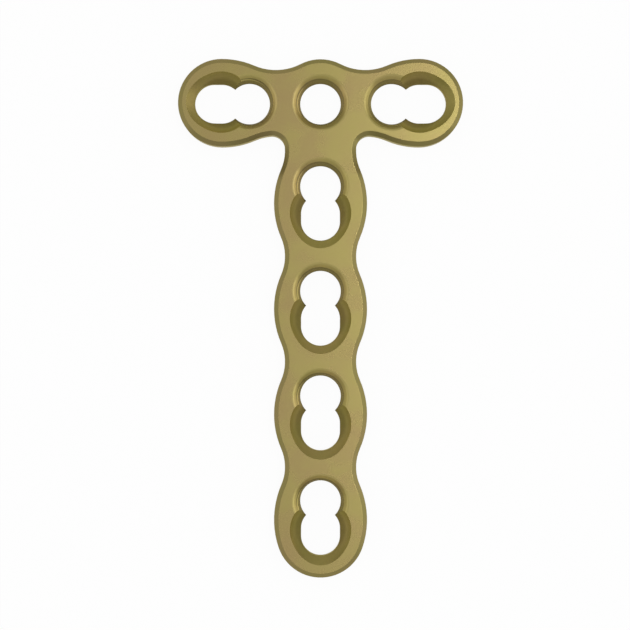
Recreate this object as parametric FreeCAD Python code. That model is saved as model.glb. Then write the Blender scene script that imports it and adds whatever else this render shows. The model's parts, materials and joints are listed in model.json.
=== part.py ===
import FreeCAD, Part
import math
import os

# Bone plate with a T-shaped head, one solid piece of metal, in millimetres.
# It lies on its flat underside. X runs across the head, +Y points from the shaft
# to the head and +Z is up. The origin is the middle of the head's round hole, on
# the underside.

Vector = FreeCAD.Vector
UP = Vector(0, 0, 1)

# Body of the plate
THICKNESS = 3.0
TOP_CHAMFER = 0.65
BOTTOM_EDGE_BREAK = 0.25

# Places of the holes, each measured to its threaded circle
HEAD_TO_FIRST_HOLE = 12.58
HOLE_PITCH = 16.0
SHAFT_HOLES = 4
ARM_HOLE_X = 10.83

# Scalloped edge of the shaft: bulges beside the holes, waists between them
SHAFT_HALF_WIDTH = 7.06
WAIST_DEPTH = 1.66
BULGE_BELOW_HOLE = 2.72
BULGE_SHARE = 0.65
TAIL_NARROWING = 0.34

# Edge of the head: a lobe at each arm's end and one over the middle hole
ARM_END_RADIUS = 6.64
ARM_END_BEYOND_HOLE = 4.16
ARM_BACK_RADIUS = 12.5
HEAD_LOBE_RADIUS = 6.59
DIP_RADIUS = 8.3
UNDER_ARM_RADIUS = 2.0

# Threaded circle of every hole: countersink, tapered seat of the thread and a
# short straight throat at the underside
SINK_RADIUS = 4.2
SINK_DEPTH = 0.8
SEAT_RADIUS = 3.41
THROAT_RADIUS = 3.1
THROAT_LENGTH = 0.5

# Compression slot that opens into the threaded circle
SLOT_HALF_WIDTH = 2.97
SLOT_START = 4.2
SLOT_TRAVEL = 1.15
SLOT_STRAIGHT_WALL = 0.4
FUNNEL_HALF_WIDTH = 4.65
FUNNEL_RUN_OUT = 0.69

# Length by which every cutter runs past the faces that it opens
OVERRUN = 1.0

# Heights that differ by less than this are the same
SAME_HEIGHT = 0.001


# An arc of the outline is its centre and its radius. The radius is negative where
# the edge is hollow, with the centre outside the metal.


def bulge(x, y, radius):
    return Vector(x, y, 0), radius


def hollow(x, y, radius):
    return Vector(x, y, 0), -radius


def mirrored(arc):
    centre, radius = arc
    return Vector(-centre.x, centre.y, 0), radius


def meeting_point(arc, following):
    """The point where two arcs touch."""
    centre, radius = arc
    next_centre, next_radius = following
    return centre + (next_centre - centre) * (radius / (radius - next_radius))


def crossing(first_centre, first_reach, second_centre, second_reach):
    """The point at the given distances from two centres.

    Of the two such points it is the one to the left of the way from the first centre
    to the second.
    """
    apart = second_centre - first_centre
    along = (first_reach**2 - second_reach**2 + apart.Length**2) / (2 * apart.Length)
    aside = math.sqrt(first_reach**2 - along**2)
    direction = Vector(apart).normalize()
    return first_centre + direction * along + UP.cross(direction) * aside


def arc_edge(arc, start, end):
    """The edge of one arc, clockwise round a bulge and the other way round a hollow."""
    centre, radius = arc
    first = math.atan2(start.y - centre.y, start.x - centre.x)
    last = math.atan2(end.y - centre.y, end.x - centre.x)
    if radius > 0:
        half_turn = -((first - last) % math.tau) / 2
    else:
        half_turn = ((last - first) % math.tau) / 2
    outward = Vector(math.cos(first + half_turn), math.sin(first + half_turn), 0)
    return Part.Arc(start, centre + outward * abs(radius), end).toShape()


def shaft_arcs():
    """Arcs down the right side of the shaft, from the neck to the last bulge."""
    half_pitch = HOLE_PITCH / 2
    both_radii = (half_pitch**2 + WAIST_DEPTH**2) / (2 * WAIST_DEPTH)
    bulge_radius = BULGE_SHARE * both_radii
    waist_radius = both_radii - bulge_radius
    waist_x = SHAFT_HALF_WIDTH - WAIST_DEPTH + waist_radius
    arcs = []
    for number in range(SHAFT_HOLES):
        widest_y = shaft_hole_y(number) - BULGE_BELOW_HOLE
        arcs.append(hollow(waist_x, widest_y + half_pitch, waist_radius))
        arcs.append(bulge(SHAFT_HALF_WIDTH - bulge_radius, widest_y, bulge_radius))
    return arcs


def tail_arc(last_bulge):
    """The round end of the shaft, which the last bulge runs into."""
    centre, radius = last_bulge
    tail_radius = SHAFT_HALF_WIDTH - TAIL_NARROWING
    drop = math.sqrt((radius - tail_radius) ** 2 - centre.x**2)
    return bulge(0, centre.y - drop, tail_radius)


def outline():
    """The closed edge of the plate, as arcs that touch each other."""
    head_lobe = bulge(0, 0, HEAD_LOBE_RADIUS)
    arm_end_x = ARM_HOLE_X + ARM_END_BEYOND_HOLE
    arm_end = bulge(arm_end_x, 0, ARM_END_RADIUS)
    back_y = ARM_BACK_RADIUS - ARM_END_RADIUS
    upper_back = bulge(arm_end_x, -back_y, ARM_BACK_RADIUS)
    lower_back = bulge(arm_end_x, back_y, ARM_BACK_RADIUS)
    dip = crossing(
        head_lobe[0],
        HEAD_LOBE_RADIUS + DIP_RADIUS,
        upper_back[0],
        ARM_BACK_RADIUS + DIP_RADIUS,
    )
    upper_dip = hollow(dip.x, dip.y, DIP_RADIUS)
    lower_dip = hollow(dip.x, -dip.y, DIP_RADIUS)

    side = shaft_arcs()
    neck_centre, neck_radius = side[0]
    under_arm = crossing(
        lower_dip[0],
        DIP_RADIUS - UNDER_ARM_RADIUS,
        neck_centre,
        -neck_radius - UNDER_ARM_RADIUS,
    )
    corner = hollow(under_arm.x, under_arm.y, UNDER_ARM_RADIUS)

    right = [upper_dip, upper_back, arm_end, lower_back, lower_dip, corner] + side
    left = [mirrored(arc) for arc in reversed(right)]
    ring = [head_lobe] + right + [tail_arc(side[-1])] + left
    following = ring[1:] + ring[:1]
    ends = [meeting_point(arc, after) for arc, after in zip(ring, following)]
    starts = ends[-1:] + ends[:-1]
    edges = [arc_edge(*piece) for piece in zip(ring, starts, ends)]
    return Part.Wire(edges)


def edges_at(solid, height):
    """The edges of a solid that lie flat at one height."""
    return [
        edge
        for edge in solid.Edges
        if all(abs(corner.Z - height) < SAME_HEIGHT for corner in edge.Vertexes)
    ]


def blank():
    """The plate before its holes are cut, with its outer edges broken."""
    solid = Part.Face(outline()).extrude(UP * THICKNESS)
    solid = solid.makeChamfer(TOP_CHAMFER, edges_at(solid, THICKNESS))
    return solid.makeChamfer(BOTTOM_EDGE_BREAK, edges_at(solid, 0))


def threaded_circle_cutter():
    """Cutter of the round hole, about the Z axis."""
    sink_slope = (SINK_RADIUS - SEAT_RADIUS) / SINK_DEPTH
    corners = [
        (0, -OVERRUN),
        (THROAT_RADIUS, -OVERRUN),
        (THROAT_RADIUS, THROAT_LENGTH),
        (SEAT_RADIUS, THICKNESS - SINK_DEPTH),
        (SINK_RADIUS + OVERRUN * sink_slope, THICKNESS + OVERRUN),
        (0, THICKNESS + OVERRUN),
        (0, -OVERRUN),
    ]
    section = Part.makePolygon([Vector(x, 0, z) for x, z in corners])
    return Part.Face(section).revolve(Vector(0, 0, 0), UP, 360)


def slot_cutter():
    """Cutter of the slot's straight wall, along +X from the threaded circle."""
    height = THICKNESS + 2 * OVERRUN
    floor = Vector(SLOT_START, 0, -OVERRUN)
    far_floor = floor + Vector(SLOT_TRAVEL, 0, 0)
    middle = Part.makeBox(
        SLOT_TRAVEL,
        2 * SLOT_HALF_WIDTH,
        height,
        floor - Vector(0, SLOT_HALF_WIDTH, 0),
    )
    near_end = Part.makeCylinder(SLOT_HALF_WIDTH, height, floor)
    far_end = Part.makeCylinder(SLOT_HALF_WIDTH, height, far_floor)
    return middle.fuse([near_end, far_end]).removeSplitter()


def funnel_cutter():
    """Cutter of the rounded funnel over the slot, in which a screw's ball head slides.

    It is a ball over the slot's start, drawn out and upwards towards the slot's far
    end until it has left the plate. The ball's centre lies at the height that gives
    the ball the funnel's width at the top of the plate and the slot's width where the
    straight wall begins. The rise of the ramp puts the funnel's tip in its place.
    """
    depth = THICKNESS - SLOT_STRAIGHT_WALL
    over_top = (FUNNEL_HALF_WIDTH**2 - SLOT_HALF_WIDTH**2 - depth**2) / (2 * depth)
    radius = math.hypot(FUNNEL_HALF_WIDTH, over_top)
    centre = Vector(SLOT_START, 0, THICKNESS + over_top)
    tip_reach = FUNNEL_HALF_WIDTH + FUNNEL_RUN_OUT
    to_tip = math.hypot(tip_reach, over_top)
    rise = math.asin(radius / to_tip) - math.atan2(over_top, tip_reach)
    direction = Vector(math.cos(rise), 0, math.sin(rise))
    ball = Part.makeSphere(radius, centre)
    ramp = Part.makeCylinder(radius, 2 * radius, centre, direction)
    return ball.fuse(ramp)


def combination_cutter():
    """Cutter of a threaded circle with its compression slot along +X."""
    return threaded_circle_cutter().fuse([slot_cutter(), funnel_cutter()])


def placed(cutter, x, y, turn):
    """A copy of a cutter, turned by so many degrees about +Z and moved to its hole."""
    copy = cutter.copy()
    copy.Placement = FreeCAD.Placement(Vector(x, y, 0), FreeCAD.Rotation(UP, turn))
    return copy


def shaft_hole_y(number):
    return -HEAD_TO_FIRST_HOLE - number * HOLE_PITCH


def plate():
    combination = combination_cutter()
    cutters = [threaded_circle_cutter()]
    cutters.append(placed(combination, ARM_HOLE_X, 0, 0))
    cutters.append(placed(combination, -ARM_HOLE_X, 0, 180))
    for number in range(SHAFT_HOLES):
        cutters.append(placed(combination, 0, shaft_hole_y(number), -90))
    return blank().cut(cutters).Solids[0]


def main():
    os.makedirs("parts", exist_ok=True)
    solid = plate()
    solid.exportStep("parts/plate.step")
    box = solid.optimalBoundingBox(False, False)
    print("plate valid:", solid.isValid(), "volume mm3:", round(solid.Volume, 1))
    print("x", round(box.XMin, 2), round(box.XMax, 2))
    print("y", round(box.YMin, 2), round(box.YMax, 2))
    print("z", round(box.ZMin, 2), round(box.ZMax, 2))


main()
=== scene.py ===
import bpy
import json
import math
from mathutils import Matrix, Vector

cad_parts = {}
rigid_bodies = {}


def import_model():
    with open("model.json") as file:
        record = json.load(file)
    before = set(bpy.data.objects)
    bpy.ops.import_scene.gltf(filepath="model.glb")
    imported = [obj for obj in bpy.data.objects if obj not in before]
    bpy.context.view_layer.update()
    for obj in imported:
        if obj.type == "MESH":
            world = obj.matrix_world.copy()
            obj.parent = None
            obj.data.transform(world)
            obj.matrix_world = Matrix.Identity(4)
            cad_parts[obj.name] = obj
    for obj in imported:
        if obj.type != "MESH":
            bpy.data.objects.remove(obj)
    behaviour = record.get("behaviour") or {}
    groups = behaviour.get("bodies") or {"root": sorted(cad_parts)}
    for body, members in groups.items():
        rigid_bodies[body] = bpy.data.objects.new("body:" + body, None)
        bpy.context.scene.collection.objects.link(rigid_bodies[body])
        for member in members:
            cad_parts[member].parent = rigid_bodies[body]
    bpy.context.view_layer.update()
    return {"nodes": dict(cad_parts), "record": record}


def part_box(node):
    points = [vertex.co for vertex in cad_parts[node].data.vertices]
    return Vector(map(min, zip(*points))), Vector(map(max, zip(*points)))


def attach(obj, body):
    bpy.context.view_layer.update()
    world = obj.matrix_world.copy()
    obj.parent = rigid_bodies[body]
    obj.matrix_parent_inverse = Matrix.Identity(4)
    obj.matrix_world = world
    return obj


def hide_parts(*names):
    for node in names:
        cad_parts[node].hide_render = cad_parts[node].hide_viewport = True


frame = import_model()

# Bone plate with a T-shaped head, one piece of anodised titanium. It lies flat on the
# floor, with its head towards +Y, and replaces the frame's plain node.

MM = 0.001

# Body of the plate, and its holes as the record gives them
PLATE_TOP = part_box("plate")[1].z
HOLES = [mount for mount in frame["record"]["mounts"] if mount["kind"] == "threaded_hole"]
THROAT_RADIUS = HOLES[0]["dims"]["r_mm"] * MM
THROAT_LENGTH = HOLES[0]["dims"]["length_mm"] * MM

# Threaded circle of every hole, above its throat
SEAT_RADIUS = 3.41 * MM
SINK_RADIUS = 4.2 * MM
SINK_DEPTH = 0.8 * MM
RIM_ROUNDING = 1.0 * MM
RIM_EDGE_ANGLE = math.radians(22)
RIM_STEPS = 6
SEAT_TOP = PLATE_TOP - SINK_DEPTH

# Compression slot beside the threaded circle, and the funnel over it
SLOT_HALF_WIDTH = 2.97 * MM
SLOT_START = 4.2 * MM
SLOT_TRAVEL = 1.15 * MM
SLOT_STRAIGHT_WALL = 0.4 * MM
FUNNEL_HALF_WIDTH = 4.65 * MM
FUNNEL_RUN_OUT = 0.69 * MM

# Turn of each hole's slot about +Z, from +X
SLOT_TURN = {"left_arm_hole": math.pi, "right_arm_hole": 0.0}
SHAFT_SLOT_TURN = -math.pi / 2

# The tools run past the faces that they open, and have this many steps to a turn
OVERRUN = 1.0 * MM
RIM_OVERRUN = 0.1 * MM
TOOL_STEPS = 112

# The level faces of the plate are divided into fields at most this wide
LEVEL = 0.999
FIELD = 3.0 * MM

# Thread that is cut into the seats
RIDGE_SPACING = 0.5 * MM
GROOVE_DEPTH = 0.2 * MM
GROOVE_ROOT_WIDTH = 0.1 * MM
GROOVE_MOUTH_WIDTH = 0.42 * MM
GROOVE_START = -0.4 * MM
GROOVE_SIDES = 4
GROOVE_TURNS = 6
GROOVE_AIR = 0.04 * MM

# Edges as they are after polishing
EDGE_ROUNDING = 0.04 * MM
EDGE_SEGMENTS = 2
EDGE_ANGLE = math.radians(28)

# How far the broad outer faces look up: top, chamfer, side, edge break and underside
OUTER_SLOPES = (1.0, math.sqrt(0.5), 0.0, -math.sqrt(0.5), -1.0)
SLOPE_PLAY = 0.012

# Play for places that are compared, and distances within which points are made one
NEARLY_ZERO = 0.001 * MM
MERGE_DISTANCE = 0.002 * MM
SLIVER = 0.004 * MM

# Most sides of a hole that a sliver leaves, and a place off every line of symmetry
SLIVER_HOLE_SIDES = 4
SORTING_PLACE = Vector((71, 113, 37)) * MM

# Oxide of the metal, which changes softly from patch to patch
THIN_OXIDE = (0.398, 0.301, 0.123)
THICK_OXIDE = (0.366, 0.305, 0.105)
GRAZING_TINT = (0.80, 0.72, 0.42)
PATCH_SIZE = 6.0 * MM
PATCH_DETAIL = 3.0
PATCH_BORDER = (0.3, 0.7)
ROUGHNESS_SPREAD = 0.06

# Grain of the blasted surface under the oxide
GRAIN_SIZE = 0.22 * MM
GRAIN_DETAIL = 2.0
GRAIN_DEPTH = 0.0015 * MM
GRAIN_SHADE = 0.05

# Marks of the mill and the lathe. A wave texture of scale one has its bands this far apart
MARK_SPACING = 0.16 * MM
MARK_UNEVENNESS = 1.5
MARK_DETAIL = 2.0
WAVE_SPACING = math.pi / 10

# Heights and upward slopes over which the far ends of the funnels get a painted highlight, a
# lighter colour
RAMP_HEIGHTS = (1.0 * MM, 2.0 * MM)
RAMP_SLOPES = (0.45, 0.66)
RAMP_HIGHLIGHT_GAIN = 0.45

# White floor, just under the plate
FLOOR_SIDE = 6.0
FLOOR_GAP = 0.02 * MM
FLOOR_COLOUR = (0.9, 0.9, 0.9)
FLOOR_GLOW = 0.95

# The softboxes stand round the middle of the plate, in a plain white room
LIT_PLACE = Vector((0, -33, 0)) * MM
LAMP_DISTANCE = 0.7
ROOM_STRENGTH = 0.69

# Kinds of the node groups' sockets
NUMBER = "NodeSocketFloat"
COLOUR = "NodeSocketColor"

# The camera looks straight down, from over the middle of the shaft
CAMERA_PLACE = Vector((-0.84, -32.22, 279.2)) * MM
PICTURE_SIDE = 630
FOCAL_LENGTH_PIXELS = 1824.8
SENSOR_WIDTH = 36.0


def deselect_all():
    bpy.ops.object.select_all(action="DESELECT")


def make_active(piece):
    deselect_all()
    piece.select_set(True)
    bpy.context.view_layer.objects.active = piece


def apply_modifier(piece, kind, **settings):
    """Adds a modifier with these settings to a piece and applies it."""
    make_active(piece)
    modifier = piece.modifiers.new(kind.title(), kind)
    for name, value in settings.items():
        setattr(modifier, name, value)
    bpy.ops.object.modifier_apply(modifier=modifier.name)


def edit(piece):
    """Opens a piece in edit mode with everything selected."""
    make_active(piece)
    bpy.ops.object.mode_set(mode="EDIT")
    bpy.ops.mesh.select_mode(type="VERT")
    bpy.ops.mesh.select_all(action="SELECT")


def close(piece):
    bpy.ops.object.mode_set(mode="OBJECT")
    return piece


def select_where(piece, test):
    """Opens a piece in edit mode with the vertices selected whose place passes a test."""
    edit(piece)
    bpy.ops.mesh.select_all(action="DESELECT")
    bpy.ops.object.mode_set(mode="OBJECT")
    for vertex in piece.data.vertices:
        vertex.select = test(vertex.co)
    bpy.ops.object.mode_set(mode="EDIT")


def apply_place(piece):
    make_active(piece)
    bpy.ops.object.transform_apply(location=True, rotation=True, scale=True)


def select_flats(piece):
    """Opens a piece in edit mode with its level faces selected."""
    edit(piece)
    bpy.ops.mesh.select_mode(type="FACE")
    bpy.ops.mesh.select_all(action="DESELECT")
    close(piece)
    for face in piece.data.polygons:
        face.select = abs(face.normal.z) > LEVEL
    bpy.ops.object.mode_set(mode="EDIT")


def divide_flats(piece):
    """Divides the top and the underside into fields smaller than a hole.

    A hole that lay wholly inside one face would leave that face with a ring round it.
    """
    lowest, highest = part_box("plate")
    for normal in (Vector((1, 0, 0)), Vector((0, 1, 0))):
        start = lowest.dot(normal)
        fields = math.ceil((highest.dot(normal) - start) / FIELD)
        width = (highest.dot(normal) - start) / fields
        for number in range(1, fields):
            select_flats(piece)
            place = normal * (start + number * width)
            bpy.ops.mesh.bisect(plane_co=place, plane_no=normal)
            close(piece)


def plate_blank():
    """The plate before its holes are cut: the frame's outer wall, closed above and below."""
    mesh = frame["nodes"]["plate"].data.copy()
    mesh.materials.clear()
    for finish in ("blasted_gold", "milled_edge_gold_painted_shade"):
        mesh.materials.append(bpy.data.materials[finish])
    piece = bpy.data.objects.new("bone_plate", mesh)
    bpy.context.scene.collection.objects.link(piece)
    make_active(piece)
    bpy.ops.mesh.customdata_custom_splitnormals_clear()
    edit(piece)
    bpy.ops.mesh.remove_doubles(threshold=MERGE_DISTANCE)
    close(piece)
    select_flats(piece)
    bpy.ops.mesh.delete(type="FACE")
    close(piece)
    far_end = max(vertex.co.y for vertex in piece.data.vertices)
    select_where(piece, lambda place: place.y > far_end - NEARLY_ZERO)
    bpy.ops.mesh.select_linked()
    bpy.ops.mesh.select_all(action="INVERT")
    bpy.ops.mesh.delete(type="VERT")
    bpy.ops.mesh.select_all(action="SELECT")
    bpy.ops.mesh.fill_holes(sides=0)
    close(piece)
    for face in mesh.polygons:
        face.material_index = 0 if abs(face.normal.z) > LEVEL else 1
    apply_modifier(
        piece,
        "BEVEL",
        width=EDGE_ROUNDING,
        segments=EDGE_SEGMENTS,
        limit_method="ANGLE",
        angle_limit=EDGE_ANGLE,
    )
    divide_flats(piece)
    return piece


def rim_section():
    """Points of the countersink's rounded rim, from its cone up to over the plate.

    The rounding stops short of the top's own level, so that the rim keeps a fine edge.
    """
    cone_angle = math.atan(SINK_DEPTH / (SINK_RADIUS - SEAT_RADIUS))
    height = math.cos(RIM_EDGE_ANGLE) - math.cos(cone_angle)
    reach = math.sin(cone_angle) - height / math.tan(cone_angle)
    middle = SINK_RADIUS + RIM_ROUNDING * reach
    points = []
    for step in range(RIM_STEPS, -1, -1):
        angle = RIM_EDGE_ANGLE + (cone_angle - RIM_EDGE_ANGLE) * step / RIM_STEPS
        drop = RIM_ROUNDING * (math.cos(RIM_EDGE_ANGLE) - math.cos(angle))
        points.append((middle - RIM_ROUNDING * math.sin(angle), PLATE_TOP - drop))
    edge_radius, edge_height = points.pop()
    overrun = RIM_OVERRUN / math.tan(RIM_EDGE_ANGLE)
    return points + [(edge_radius + overrun, edge_height + RIM_OVERRUN)]


def circle_tool():
    """Tool that turns a threaded circle: throat, tapered seat, countersink and rim."""
    section = [
        (THROAT_RADIUS, -OVERRUN),
        (THROAT_RADIUS, THROAT_LENGTH),
        (SEAT_RADIUS, SEAT_TOP),
        *rim_section(),
    ]
    deselect_all()
    bpy.ops.mesh.primitive_circle_add(
        vertices=TOOL_STEPS,
        radius=THROAT_RADIUS,
        fill_type="NGON",
        location=(0, 0, -OVERRUN),
    )
    tool = bpy.context.object
    apply_place(tool)
    edit(tool)
    for (radius, height), (next_radius, next_height) in zip(section, section[1:]):
        rise = next_height - height
        bpy.ops.mesh.extrude_region_move(TRANSFORM_OT_translate={"value": (0, 0, rise)})
        widening = next_radius / radius
        bpy.ops.transform.resize(value=(widening, widening, 1))
    bpy.ops.mesh.select_all(action="SELECT")
    bpy.ops.mesh.normals_make_consistent(inside=False)
    return close(tool)


def drawn_out(tool, length):
    """Lengthens a round tool along +X from its widest place."""
    select_where(tool, lambda place: place.x > -NEARLY_ZERO)
    bpy.ops.mesh.extrude_region_move(TRANSFORM_OT_translate={"value": (length, 0, 0)})
    bpy.ops.mesh.select_all(action="SELECT")
    bpy.ops.mesh.normals_make_consistent(inside=False)
    return close(tool)


def slot_tool():
    """Tool that mills the slot's straight wall, along +X from the threaded circle."""
    deselect_all()
    bpy.ops.mesh.primitive_cylinder_add(
        vertices=TOOL_STEPS,
        radius=SLOT_HALF_WIDTH,
        depth=PLATE_TOP + 2 * OVERRUN,
        location=(0, 0, PLATE_TOP / 2),
    )
    tool = bpy.context.object
    apply_place(tool)
    drawn_out(tool, SLOT_TRAVEL)
    tool.location.x = SLOT_START
    apply_place(tool)
    return tool


def funnel_tool():
    """Ball that mills the funnel, drawn out and upwards along the slot."""
    depth = PLATE_TOP - SLOT_STRAIGHT_WALL
    over_top = (FUNNEL_HALF_WIDTH**2 - SLOT_HALF_WIDTH**2 - depth**2) / (2 * depth)
    radius = math.hypot(FUNNEL_HALF_WIDTH, over_top)
    tip_reach = FUNNEL_HALF_WIDTH + FUNNEL_RUN_OUT
    rise = math.asin(radius / math.hypot(tip_reach, over_top)) - math.atan2(over_top, tip_reach)
    deselect_all()
    bpy.ops.mesh.primitive_uv_sphere_add(
        segments=TOOL_STEPS,
        ring_count=TOOL_STEPS // 2,
        radius=radius,
        rotation=(0, math.pi / 2, 0),
    )
    tool = bpy.context.object
    apply_place(tool)
    drawn_out(tool, 2 * radius)
    tool.location = (SLOT_START, 0, PLATE_TOP + over_top)
    tool.rotation_euler.y = -rise
    apply_place(tool)
    return tool


def seat_radius(height):
    """Radius of the threaded seat at a height over the underside."""
    share = max(0.0, (height - THROAT_LENGTH) / (SEAT_TOP - THROAT_LENGTH))
    return THROAT_RADIUS + share * (SEAT_RADIUS - THROAT_RADIUS)


def thread_tool():
    """Tool that cuts the thread's groove, wound about the Z axis."""
    slope = (GROOVE_MOUTH_WIDTH - GROOVE_ROOT_WIDTH) / GROOVE_DEPTH
    inner_width = GROOVE_MOUTH_WIDTH + slope * GROOVE_AIR
    depth = GROOVE_DEPTH + GROOVE_AIR
    middle = THROAT_RADIUS + GROOVE_DEPTH - depth / 2
    deselect_all()
    bpy.ops.mesh.primitive_plane_add(
        size=1,
        location=(middle, 0, GROOVE_START),
        rotation=(math.pi / 2, 0, 0),
    )
    tool = bpy.context.object
    tool.scale = (depth, inner_width, 1)
    apply_place(tool)
    select_where(tool, lambda place: place.x > middle)
    bpy.ops.transform.resize(value=(1, 1, GROOVE_ROOT_WIDTH / inner_width))
    bpy.ops.mesh.select_all(action="SELECT")
    bpy.ops.mesh.delete(type="ONLY_FACE")
    close(tool)
    apply_modifier(
        tool,
        "SCREW",
        axis="Z",
        screw_offset=RIDGE_SPACING,
        iterations=GROOVE_TURNS,
        steps=TOOL_STEPS,
        render_steps=TOOL_STEPS,
    )
    edit(tool)
    bpy.ops.mesh.fill_holes(sides=GROOVE_SIDES)
    bpy.ops.mesh.normals_make_consistent(inside=False)
    close(tool)
    for vertex in tool.data.vertices:
        widening = seat_radius(vertex.co.z) / THROAT_RADIUS
        vertex.co.x *= widening
        vertex.co.y *= widening
    return tool


def cut(piece, tool, holes, finish):
    """Cuts a piece with a copy of a tool at each of some holes, and leaves a finish there."""
    tool.data.materials.append(bpy.data.materials[finish])
    copies = []
    for hole in holes:
        copy = tool.copy()
        copy.data = tool.data.copy()
        copy.location = hole["pos_m"]
        copy.rotation_euler.z = SLOT_TURN.get(hole["name"], SHAFT_SLOT_TURN)
        bpy.context.scene.collection.objects.link(copy)
        copies.append(copy)
    bpy.data.objects.remove(tool)
    make_active(copies[0])
    for copy in copies:
        copy.select_set(True)
    bpy.ops.object.join()
    apply_modifier(
        piece,
        "BOOLEAN",
        operation="DIFFERENCE",
        solver="EXACT",
        material_mode="TRANSFER",
        object=copies[0],
    )
    bpy.data.objects.remove(copies[0])


def remove_slivers(piece):
    """Closes up the slivers that the tools leave where their faces cross.

    A cut leaves the mesh in an order that can differ from run to run, so it is first put
    in the order of its distance from the sorting place.
    """
    bpy.context.scene.cursor.location = SORTING_PLACE
    edit(piece)
    bpy.ops.mesh.sort_elements(type="CURSOR_DISTANCE", elements={"VERT", "EDGE", "FACE"})
    bpy.ops.mesh.remove_doubles(threshold=SLIVER)
    bpy.ops.mesh.dissolve_degenerate(threshold=SLIVER)
    bpy.ops.mesh.select_all(action="SELECT")
    bpy.ops.mesh.fill_holes(sides=SLIVER_HOLE_SIDES)
    close(piece)


def broad_slope(face):
    """Which broad face of the outer skin a face belongs to. None is a rounding or a hole."""
    for number, rise in enumerate(OUTER_SLOPES):
        if abs(face.normal.z - rise) < SLOPE_PLAY:
            return number
    return None


def shade_broad_faces_true(piece):
    """Keeps the broad outer faces free of the shading that their rounded edges cause.

    Each of them keeps its own slope right up to its edges, and the narrow rounding between
    two of them takes up the whole turn. The rim of a countersink meets the top at a fine
    edge, so it keeps its own slope there.
    """
    mesh = piece.data
    finishes = [material.name for material in mesh.materials]
    slopes = {}
    for face in mesh.polygons:
        number = None
        if finishes[face.material_index] in ("blasted_gold", "milled_edge_gold_painted_shade"):
            number = broad_slope(face)
        slopes[face.index] = number
    sums = {}
    for face in mesh.polygons:
        number = slopes[face.index]
        if number is not None:
            for vertex in face.vertices:
                at_vertex = sums.setdefault(vertex, {})
                at_vertex[number] = at_vertex.get(number, Vector()) + face.normal
    normals = [corner.vector.copy() for corner in mesh.corner_normals]
    for face in mesh.polygons:
        number = slopes[face.index]
        for index in face.loop_indices:
            at_vertex = sums.get(mesh.loops[index].vertex_index)
            if at_vertex is None:
                continue
            if number is not None:
                normals[index] = at_vertex[number].normalized()
            elif finishes[face.material_index] == "turned_gold_painted_highlight":
                normals[index] = face.normal.copy()
            else:
                nearest = min(at_vertex.values(), key=face.normal.angle)
                if face.normal.angle(nearest) < EDGE_ANGLE:
                    normals[index] = nearest.normalized()
    mesh.normals_split_custom_set(normals)


def paint_thread_shade(piece):
    """Gives the seats between the grooves the thread's material: its finish, and a darker tone
    that is painted shade.
    """
    turned = piece.data.materials.find("turned_gold_painted_highlight")
    threaded = piece.data.materials.find("threaded_gold_painted_shade")
    for face in piece.data.polygons:
        if face.material_index == turned and face.center.z < SEAT_TOP:
            face.material_index = threaded


def plate():
    piece = plate_blank()
    combination_holes = [hole for hole in HOLES if hole["name"] != "head_hole"]
    cut(piece, circle_tool(), HOLES, "turned_gold_painted_highlight")
    cut(piece, slot_tool(), combination_holes, "milled_hole_gold_painted_shade_and_highlight")
    cut(piece, funnel_tool(), combination_holes, "milled_hole_gold_painted_shade_and_highlight")
    remove_slivers(piece)
    cut(piece, thread_tool(), HOLES, "threaded_gold_painted_shade")
    remove_slivers(piece)
    paint_thread_shade(piece)
    make_active(piece)
    bpy.ops.object.shade_smooth_by_angle(angle=EDGE_ANGLE)
    shade_broad_faces_true(piece)
    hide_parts("plate")
    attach(piece, "root")


def add_node(tree, kind, **settings):
    node = tree.nodes.new(kind)
    for name, value in settings.items():
        setattr(node, name, value)
    return node


def add_math(tree, operation, first, second):
    """A maths node. Each of its two values is a number or another node's output."""
    node = add_node(tree, "ShaderNodeMath", operation=operation)
    for socket, value in zip(node.inputs, (first, second)):
        if isinstance(value, float):
            socket.default_value = value
        else:
            tree.links.new(value, socket)
    return node.outputs["Value"]


def add_step(tree, value, limits):
    """A soft step from nought to one, as a value goes from one limit to the other."""
    step = add_node(tree, "ShaderNodeMapRange", interpolation_type="SMOOTHSTEP")
    step.inputs["From Min"].default_value = limits[0]
    step.inputs["From Max"].default_value = limits[1]
    tree.links.new(value, step.inputs["Value"])
    return step.outputs["Result"]


def add_scaling(tree, colour, gain):
    """A colour that is multiplied by a gain."""
    scaling = add_node(tree, "ShaderNodeVectorMath", operation="SCALE")
    tree.links.new(colour, scaling.inputs[0])
    tree.links.new(gain, scaling.inputs["Scale"])
    return scaling.outputs["Vector"]


def new_group(name, inputs, outputs):
    """A shader node group with named sockets. Returns it with its two end nodes."""
    group = bpy.data.node_groups.new(name, "ShaderNodeTree")
    for direction, sockets in (("INPUT", inputs), ("OUTPUT", outputs)):
        for socket, kind in sockets.items():
            group.interface.new_socket(socket, in_out=direction, socket_type=kind)
    start = group.nodes.new("NodeGroupInput")
    end = group.nodes.new("NodeGroupOutput")
    return group, start.outputs, end.inputs


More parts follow.
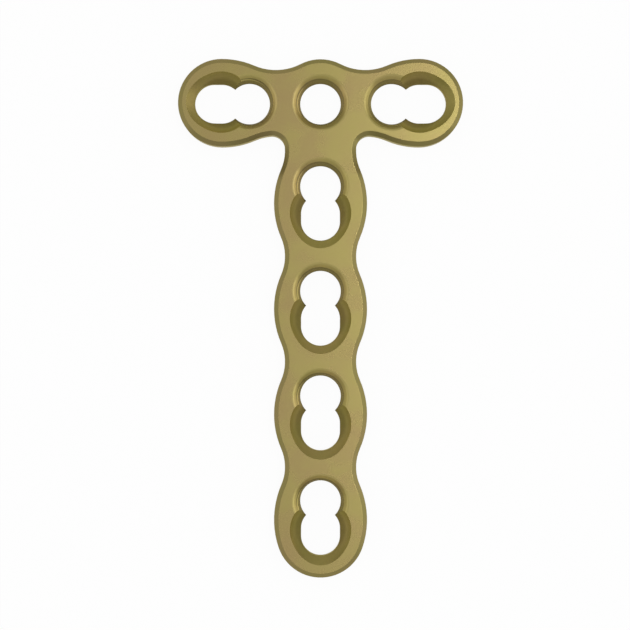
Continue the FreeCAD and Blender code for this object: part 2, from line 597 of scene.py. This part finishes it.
def oxide_group():
    """Oxide that is thicker in some soft patches, over a finely blasted surface."""
    group, given, result = new_group(
        "blasted_oxide",
        {
            "Thin Oxide": COLOUR,
            "Thick Oxide": COLOUR,
            "Patch Size": NUMBER,
            "Grain Size": NUMBER,
            "Grain Shade": NUMBER,
            "Roughness": NUMBER,
            "Roughness Spread": NUMBER,
        },
        {"Color": COLOUR, "Roughness": NUMBER, "Height": NUMBER},
    )
    place = add_node(group, "ShaderNodeTexCoord").outputs["Object"]
    patches = add_node(group, "ShaderNodeTexNoise")
    patches.inputs["Detail"].default_value = PATCH_DETAIL
    grain = add_node(group, "ShaderNodeTexNoise")
    grain.inputs["Detail"].default_value = GRAIN_DETAIL
    for noise, feature in ((patches, "Patch Size"), (grain, "Grain Size")):
        group.links.new(place, noise.inputs["Vector"])
        group.links.new(add_math(group, "DIVIDE", 1.0, given[feature]), noise.inputs["Scale"])

    thickness = add_step(group, patches.outputs["Fac"], PATCH_BORDER)
    oxide = add_node(group, "ShaderNodeMix", data_type="RGBA")
    group.links.new(thickness, oxide.inputs["Factor"])
    group.links.new(given["Thin Oxide"], oxide.inputs["A"])
    group.links.new(given["Thick Oxide"], oxide.inputs["B"])

    centred = add_math(group, "SUBTRACT", grain.outputs["Fac"], 0.5)
    speckle = add_math(group, "MULTIPLY", centred, given["Grain Shade"])
    shade = add_math(group, "ADD", speckle, 1.0)
    group.links.new(add_scaling(group, oxide.outputs["Result"], shade), result["Color"])

    unevenness = add_math(group, "SUBTRACT", thickness, 0.5)
    spread = add_math(group, "MULTIPLY", unevenness, given["Roughness Spread"])
    group.links.new(add_math(group, "ADD", given["Roughness"], spread), result["Roughness"])
    group.links.new(grain.outputs["Fac"], result["Height"])


def tool_marks_group():
    """Fine level lines that a mill or a lathe leaves on the walls that it cuts."""
    group, given, result = new_group(
        "tool_marks",
        {"Spacing": NUMBER, "Unevenness": NUMBER},
        {"Height": NUMBER},
    )
    place = add_node(group, "ShaderNodeTexCoord").outputs["Object"]
    lines = add_node(group, "ShaderNodeTexWave", bands_direction="Z")
    lines.inputs["Detail"].default_value = MARK_DETAIL
    group.links.new(place, lines.inputs["Vector"])
    line_scale = add_math(group, "DIVIDE", WAVE_SPACING, given["Spacing"])
    group.links.new(line_scale, lines.inputs["Scale"])
    group.links.new(given["Unevenness"], lines.inputs["Distortion"])
    group.links.new(lines.outputs["Fac"], result["Height"])


def anodised_titanium(name, tone, roughness, mark_share):
    """Gold-anodised titanium, with its oxide's colours multiplied by a tone. A tone under one
    paints shade into the colour, and a tone over one paints a highlight.
    """
    material = bpy.data.materials.new(name)
    material.use_nodes = True
    tree = material.node_tree
    shader = tree.nodes["Principled BSDF"]
    shader.inputs["Metallic"].default_value = 1.0
    shader.inputs["Specular Tint"].default_value = (*GRAZING_TINT, 1)

    oxide = add_node(tree, "ShaderNodeGroup", node_tree=bpy.data.node_groups["blasted_oxide"])
    for layer, colour in (("Thin Oxide", THIN_OXIDE), ("Thick Oxide", THICK_OXIDE)):
        toned = [part * share for part, share in zip(colour, tone)]
        oxide.inputs[layer].default_value = (*toned, 1)
    oxide.inputs["Patch Size"].default_value = PATCH_SIZE
    oxide.inputs["Grain Size"].default_value = GRAIN_SIZE
    oxide.inputs["Grain Shade"].default_value = GRAIN_SHADE
    oxide.inputs["Roughness"].default_value = roughness
    oxide.inputs["Roughness Spread"].default_value = ROUGHNESS_SPREAD
    tree.links.new(oxide.outputs["Color"], shader.inputs["Base Color"])
    tree.links.new(oxide.outputs["Roughness"], shader.inputs["Roughness"])

    marks = add_node(tree, "ShaderNodeGroup", node_tree=bpy.data.node_groups["tool_marks"])
    marks.inputs["Spacing"].default_value = MARK_SPACING
    marks.inputs["Unevenness"].default_value = MARK_UNEVENNESS
    marked = add_math(tree, "MULTIPLY", marks.outputs["Height"], mark_share)
    relief = add_node(tree, "ShaderNodeBump")
    relief.inputs["Strength"].default_value = 1.0
    relief.inputs["Distance"].default_value = GRAIN_DEPTH
    tree.links.new(add_math(tree, "ADD", oxide.outputs["Height"], marked), relief.inputs["Height"])
    tree.links.new(relief.outputs["Normal"], shader.inputs["Normal"])
    return material


def paint_ramp_highlights(material):
    """Paints a highlight into the funnels' colour at their far ends, where the ball mill ran out
    flat: the colour is made lighter by height and slope.
    """
    tree = material.node_tree
    shader = tree.nodes["Principled BSDF"]
    colour = shader.inputs["Base Color"].links[0].from_socket
    place = add_node(tree, "ShaderNodeTexCoord")
    masks = []
    for output, limits in (("Object", RAMP_HEIGHTS), ("Normal", RAMP_SLOPES)):
        parts = add_node(tree, "ShaderNodeSeparateXYZ")
        tree.links.new(place.outputs[output], parts.inputs["Vector"])
        masks.append(add_step(tree, parts.outputs["Z"], limits))
    both = add_math(tree, "MULTIPLY", *masks)
    gain = add_math(tree, "ADD", add_math(tree, "MULTIPLY", both, RAMP_HIGHLIGHT_GAIN), 1.0)
    tree.links.new(add_scaling(tree, colour, gain), shader.inputs["Base Color"])


def floor():
    """White floor that also looks white in the metal, with a faint shadow of the plate."""
    deselect_all()
    bpy.ops.mesh.primitive_plane_add(size=FLOOR_SIDE, location=(0, 0, -FLOOR_GAP))
    plane = bpy.context.object
    plane.name = "floor"
    material = bpy.data.materials.new("white_floor")
    material.use_nodes = True
    tree = material.node_tree
    tree.nodes.clear()
    lit = add_node(tree, "ShaderNodeBsdfDiffuse")
    lit.inputs["Color"].default_value = (*FLOOR_COLOUR, 1)
    glowing = add_node(tree, "ShaderNodeEmission")
    path = add_node(tree, "ShaderNodeLightPath")
    mirrored = add_math(
        tree,
        "MAXIMUM",
        path.outputs["Is Glossy Ray"],
        path.outputs["Is Transmission Ray"],
    )
    seen = add_math(tree, "MAXIMUM", path.outputs["Is Camera Ray"], mirrored)
    mix = add_node(tree, "ShaderNodeMixShader")
    tree.links.new(add_math(tree, "MULTIPLY", seen, FLOOR_GLOW), mix.inputs["Fac"])
    tree.links.new(lit.outputs["BSDF"], mix.inputs[1])
    tree.links.new(glowing.outputs["Emission"], mix.inputs[2])
    output = add_node(tree, "ShaderNodeOutputMaterial")
    tree.links.new(mix.outputs["Shader"], output.inputs["Surface"])
    plane.data.materials.append(material)


def softbox(name, azimuth, elevation, size, radiance):
    """An area light of a width and height, facing the plate from a direction in degrees.

    Its power is worked out from how bright it looks.
    """
    width, height = size
    lamp = bpy.data.lights.new(name, "AREA")
    lamp.shape = "RECTANGLE"
    lamp.size = width
    lamp.size_y = height
    lamp.energy = radiance * math.pi * width * height
    piece = bpy.data.objects.new(name, lamp)
    bpy.context.scene.collection.objects.link(piece)
    piece.rotation_euler = (math.radians(90 - elevation), 0, math.radians(azimuth + 90))
    towards_lamp = piece.rotation_euler.to_matrix() @ Vector((0, 0, 1))
    piece.location = LIT_PLACE + LAMP_DISTANCE * towards_lamp


def world(strength):
    studio = bpy.data.worlds.new("studio")
    bpy.context.scene.world = studio
    studio.use_nodes = True
    background = studio.node_tree.nodes["Background"]
    background.inputs["Color"].default_value = (1, 1, 1, 1)
    background.inputs["Strength"].default_value = strength


def camera():
    data = bpy.data.cameras.new("camera")
    data.sensor_width = SENSOR_WIDTH
    data.lens = FOCAL_LENGTH_PIXELS / PICTURE_SIDE * SENSOR_WIDTH
    piece = bpy.data.objects.new("camera", data)
    bpy.context.scene.collection.objects.link(piece)
    piece.location = CAMERA_PLACE
    bpy.context.scene.camera = piece


oxide_group()
tool_marks_group()
anodised_titanium("blasted_gold", tone=(1.01, 1.01, 1.02), roughness=0.27, mark_share=0.0)
# The edges' tone of 0.62 is painted shade on the chamfers and sides; their roughness and tool
# marks are their milled finish
anodised_titanium("milled_edge_gold_painted_shade", tone=(0.62, 0.64, 0.65), roughness=0.30, mark_share=0.5)
# The countersinks' tone of 1.25 is a painted highlight; their roughness and lathe marks are their
# turned finish
anodised_titanium("turned_gold_painted_highlight", tone=(1.25, 1.28, 1.24), roughness=0.34, mark_share=0.1)
# The threads' tone of 0.55 is painted shade in them; their roughness and marks are their finish
anodised_titanium("threaded_gold_painted_shade", tone=(0.55, 0.55, 0.55), roughness=0.35, mark_share=0.1)
# The funnels' tone of 0.68 is painted shade; their higher roughness and mill marks are their
# milled finish
milled_hole_gold_painted_shade_and_highlight = anodised_titanium(
    "milled_hole_gold_painted_shade_and_highlight",
    tone=(0.68, 0.70, 0.62),
    roughness=0.46,
    mark_share=0.5,
)
# The far ends of the funnels get a painted highlight: a lighter colour by height and slope
paint_ramp_highlights(milled_hole_gold_painted_shade_and_highlight)
plate()
floor()
softbox("overhead_softbox", azimuth=2, elevation=74, size=(0.2, 0.12), radiance=3.3)
softbox("back_overhead_softbox", azimuth=22, elevation=70, size=(0.2, 0.16), radiance=4.6)
softbox("front_overhead_softbox", azimuth=-30, elevation=76, size=(0.14, 0.1), radiance=1.9)
softbox("low_right_softbox", azimuth=0, elevation=14, size=(0.8, 0.35), radiance=0.92)
softbox("low_left_softbox", azimuth=180, elevation=14, size=(0.8, 0.35), radiance=0.36)
world(ROOM_STRENGTH)
camera()
bpy.context.scene.view_settings.view_transform = "Standard"
